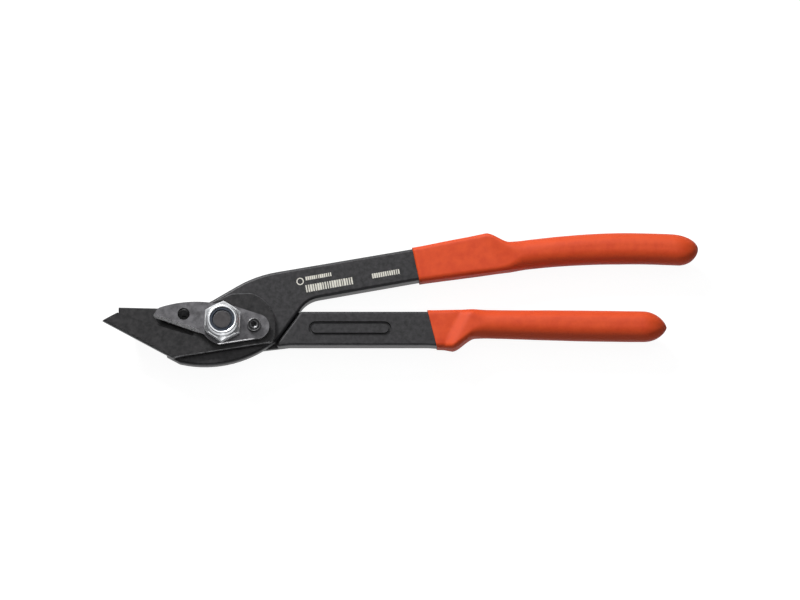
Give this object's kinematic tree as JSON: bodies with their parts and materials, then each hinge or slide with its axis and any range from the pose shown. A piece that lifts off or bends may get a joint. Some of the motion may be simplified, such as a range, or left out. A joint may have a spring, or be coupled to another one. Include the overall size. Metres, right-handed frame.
{
  "type": "steel strap cutter",
  "caption": "Hand shear for steel strapping: crossed forged levers on a pivot bolt, pointed foot blade, upper blade, guide plate and soft dipped grips.",
  "frame": {"origin": "on the pivot axis, at the outer face of the pivot bolt's hexagon head, on which the tool lies", "axes": "+X from the jaws to the grips, +Y to the upper handle's side, +Z along the pivot axis to the lock nut"},
  "size_m": [0.3049, 0.0694, 0.0391],
  "materials": {
    "forged_steel": "satin black oxide over forged steel",
    "blade_steel": "black oxide, ground bevels",
    "guide_steel": "worn black oxide with a bright ground bevel",
    "bolt_steel": "dark steel",
    "zinc_plate": "bright zinc plate",
    "nylon": "dark blue nylon",
    "black_screw": "black oxide",
    "grip_vinyl": "matte dipped vinyl, orange-red"
  },
  "bodies": {
    "lower_lever": {"lower_handle": "forged_steel", "upper_blade": "blade_steel", "blade_screws": "black_screw", "lower_grip": "grip_vinyl"},
    "upper_lever": {"upper_handle": "forged_steel", "foot_blade": "blade_steel", "guide_plate": "guide_steel", "guide_screw": "black_screw", "pivot_bolt": "bolt_steel", "pivot_washer": "zinc_plate", "lock_nut": "zinc_plate", "lock_nut_insert": "nylon", "upper_grip": "grip_vinyl"}
  },
  "joints": [
    {"name": "handle_pivot", "type": "hinge", "parent": "lower_lever", "child": "upper_lever", "pos_m": [0, 0, 0.0135], "axis": [0, 0, 1], "range_deg": [0, 28]}
  ]
}
